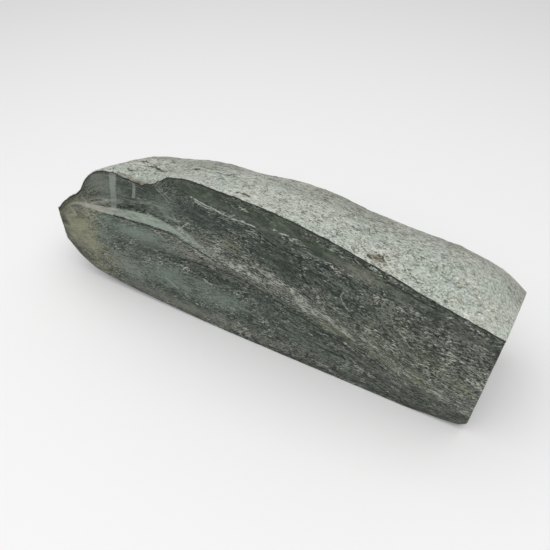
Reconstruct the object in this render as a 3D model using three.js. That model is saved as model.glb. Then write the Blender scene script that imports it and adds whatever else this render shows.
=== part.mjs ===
// Raw jade boulder: one piece of nephrite, sawn flat along its front and across one end.
// The rest of its skin is worn rind, and it tapers to a rounded, overhanging nose.
//
// Millimetres, +Z up. +X runs along the length toward the cut end, and the long sawn face looks
// along -Y. The origin is at the middle of the underside of the bounding box.
//
// Stations are distances from the cut end toward the nose. Depths are distances behind the sawn
// face, and heights are distances above the surface that the boulder rests on.

import * as THREE from 'three';

// Driving dimensions
const FACE_LENGTH = 306; // the sawn face, from the cut end to its edge at the nose
const NOSE_LENGTH = 15; // the rind that bulges out past the sawn face
const NOSE_DEPTH = 24; // depth of the nose's tip
const NOSE_HEIGHT = 38; // height of the nose's tip
const NOSE_POWER = 1.35; // 2 is a half ellipse, and less is more pointed
const END_SKEW = 0.09; // how far the cut end leans off square, for each unit of depth
const END_SKEW_REACH = 80; // station where the lean has faded away
const LEDGE_RISE = 2; // how much the ledge slopes up toward the back
const LEDGE_RISE_SHARE = 0.4; // its limit, as a share of the face's height above the ledge
const BASE_BACK = 0.8; // depth of the base's back edge, as a share of the belly's depth
const BASE_FRONT = 0.2; // depth where the underside turns up to a raised front edge, likewise
const CREST_AT = 0.38; // where the crest height pulls the shoulder, as a share of its depth
const SHOULDER_FULLNESS = 0.62; // how squarely the shoulder turns down to the belly
const HAUNCH_FULLNESS = 0.5; // how squarely the back turns in under the belly
const HEEL_DEPTH = 0.12; // how far the foot of the back flares, as a share of the belly's depth
const HEEL_HEIGHT = 0.2; // how high that flare reaches, as a share of the belly's height
const SHOULDER_SWEEP = 0.6; // the shoulder's part of the rind's sweep, and the back has the rest
const BROAD_SWELL = 1.5;
const FINE_SWELL = 0.6;

// Curves along the length, each a list of [station, value]
const TOP_EDGE = [
  [0, 89.5], [30, 97.2], [100, 116.6], [140, 123.4], [180, 125.5], [201, 119.5], [222, 105.5],
  [230, 102], [252, 105.5], [264, 103], [274, 95], [283, 82], [295, 73], [FACE_LENGTH, 61.5],
];
const LOW_EDGE = [
  [0, 9], [5, 4.5], [20, 2.2], [44, 0], [165, 0], [225, 2.7], [262, 6], [284, 10], [297, 18.5],
  [FACE_LENGTH, 31],
];
const LEDGE_LINE = [
  [0, 46], [60, 58], [120, 62], [180, 70.5], [206, 78.3], [240, 76], [268, 73], [280, 72.8],
  [296, 66.3], [FACE_LENGTH, 55],
];
const LEDGE_DEPTH = [
  [0, 0], [179, 0], [192, 2.5], [210, 6.5], [228, 9], [245, 8], [262, 6.5], [280, 4],
  [FACE_LENGTH, 0.5],
];
const CREST_HEIGHT = [
  [0, 86], [15, 101], [45, 111], [70, 108.5], [95, 108.5], [120, 113], [150, 115], [183, 109.5],
  [220, 102.5], [252, 100], [270, 92], [283, 76], [295, 60], [FACE_LENGTH, 50],
];
const BELLY_DEPTH = [
  [0, 80], [60, 90], [120, 96], [200, 98], [250, 90], [285, 67], [FACE_LENGTH, 50],
];
const BELLY_HEIGHT = [[0, 40], [120, 48], [220, 48], [FACE_LENGTH, 40]];
const KEEL_HEIGHT = [[0, 0], [258, 0], [285, 4], [298, 11], [FACE_LENGTH, 19]];

// Mesh density
const STATION_STEP = 5.1;
const NOSE_RINGS = 8;
const LOWER_SPANS = 6;
const UPPER_SPANS = 4;
const SHOULDER_SPANS = 11;
const BACK_SPANS = 7;
const BASE_SPANS = 6;

// A smooth curve through [station, value] pairs that never overshoots them.
function curve(points) {
  const gaps = points.slice(1).map(([station], i) => station - points[i][0]);
  const rises = gaps.map((gap, i) => (points[i + 1][1] - points[i][1]) / gap);
  const slopes = points.map((_, i) => {
    const before = rises[Math.max(i - 1, 0)];
    const after = rises[Math.min(i, rises.length - 1)];
    return before * after > 0 ? (2 * before * after) / (before + after) : 0;
  });
  return (station) => {
    let i = 0;
    while (i < gaps.length - 1 && station > points[i + 1][0]) i += 1;
    const t = THREE.MathUtils.clamp((station - points[i][0]) / gaps[i], 0, 1);
    const ends = points[i][1] * (1 + 2 * t) * (1 - t) ** 2 + points[i + 1][1] * t * t * (3 - 2 * t);
    const tilts = slopes[i] * t * (1 - t) ** 2 - slopes[i + 1] * t * t * (1 - t);
    return ends + gaps[i] * tilts;
  };
}

const topEdge = curve(TOP_EDGE);
const lowEdge = curve(LOW_EDGE);
const ledgeLine = curve(LEDGE_LINE);
const ledgeDepth = curve(LEDGE_DEPTH);
const crestHeight = curve(CREST_HEIGHT);
const bellyDepth = curve(BELLY_DEPTH);
const bellyHeight = curve(BELLY_HEIGHT);
const keelHeight = curve(KEEL_HEIGHT);

// Broad swells of the rind. They die out at both ends of the sweep, at the sawn edge and the base.
function swell(station, sweep) {
  const broad = Math.sin(station / 23 + 3 * sweep) * Math.cos(station / 41 - 4 * sweep);
  const fine = Math.sin(station / 11 - 6 * sweep) * Math.sin(9 * sweep + 1);
  return (BROAD_SWELL * broad + FINE_SWELL * fine) * Math.sin(Math.PI * sweep);
}

// The depth and height of evenly spaced points from a to b, without b itself.
function straight(a, b, spans) {
  return Array.from({ length: spans }, (_, i) => a.clone().lerp(b, i / spans));
}

// Points along a rind arc, without its last one. The sweep runs from sweepFrom to sweepTo.
function rindArc(arc, spans, station, sweepFrom, sweepTo) {
  return Array.from({ length: spans }, (_, i) => {
    const point = arc.getPoint(i / spans);
    const along = arc.getTangent(i / spans);
    const lift = swell(station, THREE.MathUtils.lerp(sweepFrom, sweepTo, i / spans));
    return point.add(new THREE.Vector2(-along.y, along.x).multiplyScalar(lift));
  });
}

// One closed cross-section as depth and height pairs: up the sawn face, over the rind to the back
// and down it, then forward along the underside.
function section(station) {
  const top = topEdge(station);
  const low = lowEdge(station);
  const ledge = ledgeLine(station);
  const recess = ledgeDepth(station);
  const crest = crestHeight(station);
  const belly = bellyDepth(station);
  const waist = bellyHeight(station);
  const keel = keelHeight(station);
  const reach = belly - recess;
  const rise = Math.min(LEDGE_RISE, LEDGE_RISE_SHARE * (top - ledge));

  const lowFront = new THREE.Vector2(0, low);
  const ledgeFront = new THREE.Vector2(0, ledge);
  const ledgeBack = new THREE.Vector2(recess, ledge + rise);
  const topFront = new THREE.Vector2(recess, top);
  const back = new THREE.Vector2(belly, waist);
  const baseBack = new THREE.Vector2(BASE_BACK * belly, keel);
  const baseFront = new THREE.Vector2(BASE_FRONT * belly, keel);

  const shoulder = new THREE.CubicBezierCurve(
    topFront,
    new THREE.Vector2(recess + CREST_AT * reach, crest),
    new THREE.Vector2(belly, waist + SHOULDER_FULLNESS * (crest - waist)),
    back,
  );
  const haunch = new THREE.CubicBezierCurve(
    back,
    new THREE.Vector2(belly, waist - HAUNCH_FULLNESS * (waist - keel)),
    new THREE.Vector2(baseBack.x + HEEL_DEPTH * belly, keel + HEEL_HEIGHT * (waist - keel)),
    baseBack,
  );
  return [
    ...straight(lowFront, ledgeFront, LOWER_SPANS),
    ledgeFront,
    ...straight(ledgeBack, topFront, UPPER_SPANS),
    ...rindArc(shoulder, SHOULDER_SPANS, station, 0, SHOULDER_SWEEP),
    ...rindArc(haunch, BACK_SPANS, station, SHOULDER_SWEEP, 1),
    ...straight(baseBack, baseFront, BASE_SPANS),
    baseFront,
  ];
}

// The cross-section as points in space. The cut end leans, and the lean fades along the length.
function faceRing(station) {
  const lean = END_SKEW * Math.max(0, 1 - station / END_SKEW_REACH);
  return section(station).map(({ x, y }) => new THREE.Vector3(lean * x - station, x, y));
}

// The last cross-section drawn in toward the nose's tip. part runs from 0 at the face to 1.
function noseRing(part) {
  const width = (1 - part ** NOSE_POWER) ** (1 / NOSE_POWER);
  const station = FACE_LENGTH + NOSE_LENGTH * part;
  return section(FACE_LENGTH).map(({ x, y }) => new THREE.Vector3(
    -station,
    THREE.MathUtils.lerp(NOSE_DEPTH, x, width),
    THREE.MathUtils.lerp(NOSE_HEIGHT, y, width),
  ));
}

// A closed skin over the rings, with a flat fan at the cut end and a pointed one at the nose.
function skin(rings, tip) {
  const count = rings[0].length;
  const triangles = [];
  rings.slice(1).forEach((_, r) => {
    for (let i = 0; i < count; i += 1) {
      const next = (i + 1) % count;
      const [a, b] = [r * count + i, r * count + next];
      const [c, d] = [a + count, b + count];
      triangles.push(a, b, d, a, d, c);
    }
  });
  const centre = rings.length * count;
  const point = centre + 1;
  const last = centre - count;
  for (let i = 0; i < count; i += 1) {
    const next = (i + 1) % count;
    triangles.push(centre, next, i, point, last + i, last + next);
  }
  const middle = new THREE.Vector3();
  rings[0].forEach((vertex) => middle.add(vertex));
  middle.divideScalar(count);
  const vertices = [...rings.flat(), middle, tip];
  const geometry = new THREE.BufferGeometry().setFromPoints(vertices);
  geometry.setIndex(triangles);
  return geometry;
}

function boulder() {
  const steps = Math.round(FACE_LENGTH / STATION_STEP);
  const rings = Array.from({ length: steps + 1 }, (_, i) => faceRing((FACE_LENGTH * i) / steps));
  for (let i = 1; i < NOSE_RINGS; i += 1) {
    rings.push(noseRing(Math.sin((Math.PI / 2) * (i / NOSE_RINGS))));
  }
  const tip = new THREE.Vector3(-FACE_LENGTH - NOSE_LENGTH, NOSE_DEPTH, NOSE_HEIGHT);
  const geometry = skin(rings, tip);
  geometry.computeBoundingBox();
  const middle = geometry.boundingBox.getCenter(new THREE.Vector3());
  geometry.translate(-middle.x, -middle.y, -geometry.boundingBox.min.z);
  geometry.computeVertexNormals();
  const nephrite = new THREE.MeshStandardMaterial({
    color: 0x59655c,
    roughness: 0.55,
    metalness: 0,
    flatShading: true,
  });
  const mesh = new THREE.Mesh(geometry, nephrite);
  mesh.name = 'boulder';
  return mesh;
}

const part = new THREE.Group();
part.add(boulder());

export default part;
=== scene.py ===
"""Raw jade boulder: worn rind over nephrite, sawn along its front and across one end.

The file is laid out as a Blender add-on and is run as a script. It builds the boulder's fine surface
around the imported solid, with its finishes, and a plain studio stage.

Lengths in the shape curves are millimetres, as in the solid's own source. Stations run from the cut
end toward the nose, depths run back from the sawn face, and heights run up from the surface below.
"""

import math

import bpy
import numpy as np
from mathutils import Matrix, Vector


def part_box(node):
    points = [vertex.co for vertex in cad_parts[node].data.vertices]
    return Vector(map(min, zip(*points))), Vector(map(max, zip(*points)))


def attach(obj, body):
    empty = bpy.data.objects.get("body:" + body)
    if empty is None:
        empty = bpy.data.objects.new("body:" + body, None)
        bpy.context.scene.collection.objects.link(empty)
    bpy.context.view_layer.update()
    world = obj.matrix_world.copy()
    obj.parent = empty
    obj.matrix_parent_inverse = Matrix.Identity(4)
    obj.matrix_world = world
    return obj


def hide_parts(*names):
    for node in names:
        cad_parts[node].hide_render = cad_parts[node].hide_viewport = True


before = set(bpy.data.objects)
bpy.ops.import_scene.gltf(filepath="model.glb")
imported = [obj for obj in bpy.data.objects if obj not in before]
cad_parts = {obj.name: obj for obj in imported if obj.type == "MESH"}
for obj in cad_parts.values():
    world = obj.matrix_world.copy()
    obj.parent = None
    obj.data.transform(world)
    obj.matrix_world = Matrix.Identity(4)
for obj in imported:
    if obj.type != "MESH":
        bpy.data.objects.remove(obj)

bl_info = {
    "name": "Raw Jade Boulder",
    "version": (1, 0, 0),
    "blender": (4, 5, 0),
    "location": "View3D > Sidebar > Minerals",
    "description": "Builds a raw jade boulder with sawn faces and worn rind",
    "category": "Add Mesh",
}

MM = 0.001
NODE = "boulder"
CAD_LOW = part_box(NODE)[0]
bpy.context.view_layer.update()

# Driving dimensions, as in the solid
FACE_LENGTH = 306
NOSE_LENGTH = 15
NOSE_DEPTH = 24
NOSE_HEIGHT = 38
NOSE_POWER = 1.35
END_SKEW = 0.09
END_SKEW_REACH = 80
LEDGE_RISE = 2
LEDGE_RISE_SHARE = 0.4
BASE_BACK = 0.8
BASE_FRONT = 0.2
CREST_AT = 0.38
SHOULDER_FULLNESS = 0.62
HAUNCH_FULLNESS = 0.5
HEEL_DEPTH = 0.12
HEEL_HEIGHT = 0.2
SHOULDER_SWEEP = 0.6
BROAD_SWELL = 1.5
FINE_SWELL = 0.6

# The lower front corner of the cut end, in metres
CORNER = (CAD_LOW[0] + (FACE_LENGTH + NOSE_LENGTH) * MM, CAD_LOW[1], CAD_LOW[2])

# Curves along the length, each a list of (station, value)
TOP_EDGE = [
    (0, 89.5), (30, 97.2), (100, 116.6), (140, 123.4), (180, 125.5), (201, 119.5), (222, 105.5),
    (230, 102), (252, 105.5), (264, 103), (274, 95), (283, 82), (295, 73), (FACE_LENGTH, 61.5),
]
LOW_EDGE = [
    (0, 9), (5, 4.5), (20, 2.2), (44, 0), (165, 0), (225, 2.7), (262, 6), (284, 10), (297, 18.5),
    (FACE_LENGTH, 31),
]
LEDGE_LINE = [
    (0, 46), (60, 58), (120, 62), (180, 70.5), (206, 78.3), (240, 76), (268, 73), (280, 72.8),
    (296, 66.3), (FACE_LENGTH, 55),
]
LEDGE_DEPTH = [
    (0, 0), (179, 0), (192, 2.5), (210, 6.5), (228, 9), (245, 8), (262, 6.5), (280, 4),
    (FACE_LENGTH, 0.5),
]
CREST_HEIGHT = [
    (0, 86), (15, 101), (45, 111), (70, 108.5), (95, 108.5), (120, 113), (150, 115), (183, 109.5),
    (220, 102.5), (252, 100), (270, 92), (283, 76), (295, 60), (FACE_LENGTH, 50),
]
BELLY_DEPTH = [
    (0, 80), (60, 90), (120, 96), (200, 98), (250, 90), (285, 67), (FACE_LENGTH, 50),
]
BELLY_HEIGHT = [(0, 40), (120, 48), (220, 48), (FACE_LENGTH, 40)]
KEEL_HEIGHT = [(0, 0), (258, 0), (285, 4), (298, 11), (FACE_LENGTH, 19)]

# Rounding of the arrises
LOW_ROUND = [(0, 0.8), (FACE_LENGTH, 1.5)]
LEDGE_ROUND = 0.6
FILLET = 2.2
TOP_ROUND = 0.7
HEEL_ROUND = 2.5
END_ROUND = 0.6

# How far the dark rim reaches into the cut end
END_RIM = 5

# Lines that the grain of the stone follows between the low edge and the top edge
MIDDLE_GRAIN = [
    (0, 15), (36, 22), (66, 36), (96, 46), (124, 52), (150, 59), (176, 60), (216, 57), (250, 52),
    (280, 46), (FACE_LENGTH, 44),
]
UPPER_GRAIN = [
    (0, 31), (36, 40), (66, 52), (96, 64), (136, 80), (176, 88), (204, 86), (240, 80), (270, 74),
    (FACE_LENGTH, 57),
]
GRAIN_LEVELS = (0, 45, 75, 115)
GRAIN_DIP = 0.3

# Soft patches on the sawn face: (station, height, half length, half height, slope, strength)
OLIVE_PATCHES = [
    (88, 46, 20, 3, 0.25, 1), (60, 39, 14, 3, 0.3, 1), (36, 31, 13, 3.5, 0.3, 0.9),
    (160, 86, 9, 4, 0.3, 0.7), (24, 50, 14, 4, 0.3, 0.35), (50, 50, 46, 22, 0.3, 0.2),
    (10, 41, 9, 3, 0.3, 0.9),
]
CALM_PATCHES = [
    (233, 65, 32, 10, -0.02, 1), (216, 34, 26, 12, 0.1, 0.9), (172, 34, 28, 9, 0.1, 0.75),
    (215, 92, 16, 12, 0, 0.7), (250, 28, 22, 9, 0, 0.7), (288, 48, 20, 22, 0, 1),
    (180, 118, 26, 6, 0.05, 1), (135, 113, 30, 5, 0.16, 0.9), (90, 103, 30, 5, 0.25, 0.9),
    (60, 96, 26, 4, 0.25, 0.6), (250, 96, 12, 14, 0, 0.6), (264, 94, 12, 14, 0, 0.9),
    (215, 10, 60, 6, 0, 0.8), (178, 101, 16, 6, 0.15, 0.5), (124, 30, 44, 10, 0.2, 0.45),
    (18, 84, 16, 8, 0.2, 0.4),
]
GREEN_PATCHES = [
    (236, 66, 32, 9, 0, 1), (212, 92, 17, 11, 0.1, 0.7), (212, 34, 30, 13, 0.1, 0.85),
    (238, 98, 10, 12, 0, 0.5), (172, 36, 28, 9, 0.1, 0.85), (252, 46, 12, 16, 0.3, 0.6),
    (246, 26, 20, 10, 0.1, 1.1), (174, 28, 22, 8, 0.05, 0.9), (262, 60, 10, 34, 0, 0.8),
]
DARK_PATCHES = [
    (122, 86, 28, 12, 0.22, 1), (92, 80, 22, 10, 0.3, 0.65), (140, 107, 15, 5, 0.15, 0.8),
    (162, 117, 10, 4, 0.1, 0.6), (142, 50, 24, 7, 0.3, 0.7), (188, 56, 32, 4.5, 0.02, 0.8),
    (100, 38, 28, 5, 0.3, 0.4), (66, 26, 24, 4, 0.27, 0.3), (165, 103, 26, 7, 0.1, 0.8),
    (184, 100, 15, 8, 0.1, 0.9), (262, 94, 10, 8, 0, 0.4), (228, 100, 14, 6, 0, 0.5),
    (242, 50, 10, 5, -0.3, 0.6), (34, 88, 14, 5, 0.3, 0.6), (100, 62, 10, 4, 0.3, 0.4),
    (60, 5, 44, 2.5, 0.02, 1), (231, 103, 10, 2, -0.2, 1), (241, 93, 7, 10, 0, 0.8),
    (226, 102.5, 12, 3, 0.1, 1.1), (128, 0.5, 60, 1.6, 0, 0.9),
]
RIM_PATCHES = [
    (188, 118, 22, 6, 0.05, 1), (150, 117, 28, 6, 0.13, 1.2), (110, 111, 24, 5, 0.18, 1),
    (75, 102, 22, 5, 0.27, 0.9), (45, 94, 18, 4, 0.25, 0.7),
]
FLECK_PATCHES = [
    (124, 109, 10, 2, 0.1, 1.9), (150, 117, 8, 2, 0.2, 1.4), (160, 94, 14, 6, 0.2, 0.4),
    (184, 88, 10, 4, 0.3, 0.5), (150, 70, 28, 7, 0.2, 0.6), (112, 60, 26, 5, 0.35, 0.8),
    (80, 64, 30, 8, 0.3, 0.3), (24, 30, 24, 8, 0.35, 0.3), (120, 30, 30, 10, 0.2, 0.3),
    (226, 46, 14, 5, 0, 0.7), (280, 72, 8, 5, -0.6, 0.5),
]
TIP_PATCHES = [(291, 51, 8, 11, 0, 1), (276, 40, 6, 18, 0, 0.6), (268, 30, 5, 9, 0, 0.4)]
BROWN_PATCHES = [
    (296, 68, 11, 4, -0.9, 1), (294, 24, 9, 6, 0.9, 1.2), (281, 82, 9, 4, -0.9, 0.8),
    (272, 12, 16, 3, 0.3, 0.5), (304, 44, 3.2, 18, 0, 1.4), (234, 104, 14, 2.4, 0.2, 0.9),
    (283, 62, 5, 6, -0.8, 0.5),
]
GREY_PATCHES = [
    (14, 44, 18, 22, 0.3, 1.1), (186, 64, 26, 5, 0.05, 0.9), (176, 71, 18, 6, 0.3, 0.9),
    (258, 30, 16, 10, 0, 0.7), (226, 46, 14, 5, 0, 0.5), (66, 66, 20, 8, 0.3, 0.2),
    (20, 78, 18, 10, 0.3, 0.7), (160, 9, 60, 5, 0, 0.9), (60, 84, 14, 7, 0.2, 0.7),
    (58, 50, 28, 6, 0.3, 0.8), (96, 71, 14, 5, 0.25, 0.5), (150, 66, 24, 7, 0.1, 0.8),
    (54, 23, 18, 5, 0.3, 1), (17, 25, 13, 8, 0.3, 0.8), (90, 50, 16, 5, 0.3, 0.6),
    (246, 32, 9, 8, 0.8, 0.7), (242, 50, 8, 5, 0, 0.5), (186, 74, 20, 5, 0.2, 0.5),
    (170, 80, 16, 9, -0.4, 0.7), (79, 99, 7, 5, 0.3, 1.1), (72, 98, 10, 6, 0, 0.4),
    (264, 95, 12, 11, 0, 0.6),
]
# Shelf patches spread the ledge's pale colour, painted light included, onto the face just around the
# ledge
SHELF_PATCHES = [
    (200, 81.5, 10, 4, 0.3, 1), (188, 77, 12, 4, 0.35, 0.9), (226, 86, 22, 2.6, 0.02, 0.6),
    (266, 78, 13, 2.8, -0.3, 1),
]

ZONES = {
    "olive": OLIVE_PATCHES, "calm": CALM_PATCHES, "green": GREEN_PATCHES, "dark": DARK_PATCHES,
    "rim": RIM_PATCHES, "fleck": FLECK_PATCHES, "glow": TIP_PATCHES, "brown": BROWN_PATCHES,
    "grey": GREY_PATCHES, "shelf": SHELF_PATCHES,
}
ZONE_DRIFT = 5

# Where the sawn edge has crumbled, as a station and a half length, and where rust shows along it
CRUMBLED = (232, 16)
RUSTY_EDGE = (234, 12)

# How ragged the sawn edge is in millimetres, and how many times more so where it has crumbled
EDGE_WEAR = 0.2
CRUMBLED_WEAR = 2.5

# Lines on the sawn face, as (station, height) points
VEINS = [([(251, 106), (254, 92), (256.5, 77)], 2.3), ([(236, 101), (237, 95), (239, 89)], 0.9)]
THREADS = [
    [(186, 112.5), (178, 111.4), (171, 110.4), (164, 108.6), (152, 107.6), (143, 107.2)],
    [(183, 111), (174, 109), (166, 109.6)], [(158, 107), (150, 108.4)], [(131, 110), (129, 110.4)],
    [(127, 109), (122, 109.6)], [(119, 108), (117, 108.4)], [(151, 117), (149, 117.4)],
    [(203, 78.5), (198, 83), (191, 90)],
]
HAIRLINES = [
    [(87, 81), (88.5, 77), (86, 72), (82, 68)], [(53, 68), (44, 57)], [(24, 66), (12, 60), (2, 54)],
    [(217, 33), (207, 26)], [(163, 46), (157, 48.6), (150, 49.5)], [(118, 57.6), (106, 57)],
    [(293, 68.5), (288, 61)], [(279, 72.5), (273, 62.5)], [(272, 70), (262, 58)],
    [(220, 105), (213, 101), (207.5, 97)], [(215.5, 105.5), (206, 101)], [(206, 89), (201, 82.7)],
    [(281.5, 77), (275, 71.5)],
]
CRACKS = [
    [(252, 74.4), (238, 75.6), (222, 76.8), (204, 76.8), (192, 73.8), (180, 70), (172, 67)],
    [(114, 48), (100, 43), (90, 39.5)], [(87, 38), (78, 35)], [(64, 101), (48, 96.4), (36, 93.5)],
    [(172, 61.5), (160, 61), (146, 58), (128, 52.4), (120, 50)], [(218, 57), (196, 59), (178, 60)],
    [(72, 36), (60, 31), (48, 26)],
]

# Lumps of the rind: (rise, size, seed), and ridges of the sawn face, which are also stretched
RIND_LUMPS = [(0.42, 15, 11), (0.26, 6.5, 12), (0.2, 3.1, 13), (0.16, 1.7, 14)]
FACE_RIDGES = [(0.05, 2.2, 31, 3), (0.07, 5, 32, 4)]

# Dents in the rind: (station, depth, half length, half width, how deep)
DENTS = [
    (230, 30.5, 7, 1.3, 1.2), (204, 31, 6, 1.4, 1.3), (180, 29.5, 5, 1.2, 1), (158, 46, 6, 1.4, 1),
    (246, 18, 5, 2.2, 0.7), (153, 6, 3, 1, 0.7), (192, 14, 5, 1, 0.6), (120, 40, 9, 2.5, 0.5),
    (60, 54, 12, 3, 0.5), (96, 70, 7, 1.6, 0.9), (30, 60, 8, 2, 0.6), (140, 78, 10, 2, 0.8),
]
RUST_PIT = (73.5, 5.5, 2.6, 1.8, 0.9)

# Dents in the back: (station, height, half length, half width, how deep)
BACK_DENTS = [
    (250, 46, 12, 3, 0.9), (176, 58, 14, 3, 0.8), (106, 31, 13, 2.5, 0.8), (58, 54, 11, 3.5, 0.9),
    (214, 24, 9, 4, 0.8), (142, 76, 8, 3, 0.7), (278, 60, 7, 2.5, 0.8), (30, 22, 8, 3, 0.7),
]

# Dark cracks in the rind, as (station, depth) points
BACK_CRACKS = [
    [(262, 50), (250, 46.5), (238, 46)], [(190, 64), (176, 58), (163, 56)],
    [(118, 29), (106, 31.5), (94, 31)], [(68, 58), (58, 54), (50, 50)], [(222, 27), (208, 22)],
]
RIND_CRACKS = [
    [(241, 30), (236, 31.5), (231, 30), (223, 30), (216, 27)], [(208, 27), (203, 31), (200, 37)],
    [(186, 30), (179, 28.5), (174, 33)], [(163, 44), (157, 47)], [(246, 17), (241, 20)],
    [(156, 4.5), (153, 6.5), (149, 6)], [(222, 40), (214, 43)], [(150, 60), (141, 64)],
    [(196, 36), (186, 39)], [(172, 41), (166, 45)], [(113, 66), (104, 70), (97, 70)],
    [(132, 52), (127, 54)], [(254, 31), (247, 36)], [(72.5, 8.6), (70.5, 8.2), (70, 7)],
    [(77.5, 4), (75, 3.2)],
]

END_GRAIN_TURN = math.radians(70)

# Kinds of fibre: (length, width, seed, slant), in millimetres and radians
FIBRE_KINDS = {
    "broad": (42, 8, 3, 0), "middle": (15, 3.2, 8, 0), "dashes": (5, 0.8, 15, 0.2),
    "crossed": (4.2, 0.72, 22, 0.5), "back": (3.8, 0.72, 31, -0.1), "dots": (2.4, 0.95, 44, 0),
    "long hairs": (24, 2.2, 51, 0.14), "short hairs": (10, 2.2, 58, -0.2),
    "olive streaks": (16, 1.7, 51, 0), "tip mottle": (14, 9, 83, 0.8), "clumps": (17, 9, 88, 0),
    "haze": (10, 3, 64, -0.4), "smudges": (8, 4, 105, 0), "grit": (1.7, 0.85, 97, 0.25),
    "breaks": (3, 1.5, 71, 0), "rind streaks": (7, 1.8, 77, 0.2),
}

# Names of the shader node groups
FIBRES, GRAINS, LINE = "Nephrite fibres", "Mineral grains", "Line distance"

# Mesh density: rings along the length, and columns round each ring
STATION_STEP = 1
NOSE_RINGS = 22
LOWER_COLUMNS = 62
UPPER_COLUMNS = 40
LEDGE_COLUMNS = 5
CORNER_COLUMNS = 4
SHOULDER_COLUMNS = 88
BACK_COLUMNS = 40
BASE_COLUMNS = 14
END_RINGS = 14

# Kinds of surface, which are also the places of their materials
FACE, RIND, CUT = range(3)


def curve(points):
    """A smooth curve through (station, value) pairs that never overshoots them."""
    stations, values = np.array(points, float).T
    gaps = np.diff(stations)
    rises = np.diff(values) / gaps
    before = np.r_[rises[0], rises]
    after = np.r_[rises, rises[-1]]
    same_way = before * after > 0
    slopes = np.where(same_way, 2 * before * after / np.where(same_way, before + after, 1), 0)

    def value(station):
        station = np.asarray(station, float)
        i = np.clip(np.searchsorted(stations, station) - 1, 0, len(gaps) - 1)
        t = np.clip((station - stations[i]) / gaps[i], 0, 1)
        ends = values[i] * (1 + 2 * t) * (1 - t) ** 2 + values[i + 1] * t * t * (3 - 2 * t)
        tilts = slopes[i] * t * (1 - t) ** 2 - slopes[i + 1] * t * t * (1 - t)
        return ends + gaps[i] * tilts

    return value


def smooth(value, low, high):
    """0 at low, 1 at high, and an even S between them. low may be the larger one."""
    t = np.clip((value - low) / (high - low), 0, 1)
    return t * t * (3 - 2 * t)


def scatter(corners, seed):
    """A repeatable random number from -1 to 1 for each whole-numbered corner."""
    primes = np.array([73856093, 19349663, 83492791], np.int64)
    mixed = ((corners * primes).sum(-1) + seed * 2654435761).astype(np.uint32)
    for shift, factor in ((15, 2246822519), (13, 3266489917), (16, 1)):
        mixed ^= mixed >> np.uint32(shift)
        mixed *= np.uint32(factor)
    return mixed / 2.0**31 - 1


def lumps(points, size, seed):
    """Smooth noise from about -1 to 1, with lumps of that size."""
    cells = points / size
    corner = np.floor(cells).astype(np.int64)
    part = cells - corner
    part = part * part * (3 - 2 * part)
    total = np.zeros(points.shape[:-1])
    for offset in np.ndindex(2, 2, 2):
        weight = np.prod(np.where(np.array(offset), part, 1 - part), axis=-1)
        total += weight * scatter(corner + np.array(offset), seed)
    return total


def zone(place, spots, seed):
    """How strongly each place lies in soft, uneven patches of the sawn face."""
    along = lumps(place, 14, seed) + 0.6 * lumps(place, 5, seed + 1)
    upward = lumps(place, 11, seed + 2) + 0.6 * lumps(place, 4, seed + 3)
    station = place[..., 0] + ZONE_DRIFT * along
    height = place[..., 1] + ZONE_DRIFT * upward / 2
    total = np.zeros(station.shape)
    for centre, level, length, width, slope, strength in spots:
        along = (station - centre) / length
        across = (height - level - slope * (station - centre)) / width
        total = np.maximum(total, strength * np.exp(-(along**2) - across**2))
    return total


def bezier(a, b, c, d, shares):
    """Points on a cubic curve. shares has one row for each ring."""
    t = shares[..., None]
    u = 1 - t
    a, b, c, d = (p[:, None] for p in (a, b, c, d))
    return u**3 * a + 3 * u * u * t * b + 3 * u * t * t * c + t**3 * d


def unit(ways):
    """Each way cut or stretched to a length of 1."""
    return ways / np.maximum(np.linalg.norm(ways, axis=-1, keepdims=True), 1e-9)


def toward(a, b, distance):
    """The point that far from a on the way to b."""
    return a + unit(b - a) * np.reshape(distance, (-1, 1))


def even(count):
    """Even shares from 0, without 1 itself."""
    return np.arange(count) / count


def between(a, b, count):
    """Evenly spaced points from a to b for every ring at once, without b itself."""
    return a[:, None] + (b - a)[:, None] * even(count)[None, :, None]


def corner(a, middle, b):
    """A rounded corner from a to b, pulled to the middle, without b itself."""
    t = even(CORNER_COLUMNS)[None, :, None]
    a, middle, b = (p[:, None] for p in (a, middle, b))
    return (1 - t) ** 2 * a + 2 * t * (1 - t) * middle + t * t * b


def arris(before, tip, after, reach):
    """A corner that is rounded off that far from its tip, between its two ends."""
    start, end = toward(tip, before, reach), toward(tip, after, reach)
    return start, corner(start, tip, end), end


def hump(station, centre, half_length):
    """1 at the centre, and falling smoothly away from it."""
    return np.exp(-(((station - centre) / half_length) ** 2))


def swell(station, sweep):
    """Broad swells of the rind, which die out at the sawn edge and the base."""
    broad = np.sin(station / 23 + 3 * sweep) * np.cos(station / 41 - 4 * sweep)
    fine = np.sin(station / 11 - 6 * sweep) * np.sin(9 * sweep + 1)
    return (BROAD_SWELL * broad + FINE_SWELL * fine) * np.sin(np.pi * sweep)


def pairs(depth, height):
    """One depth and height for each ring."""
    return np.stack(np.broadcast_arrays(np.asarray(depth, float), height), -1)


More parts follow.
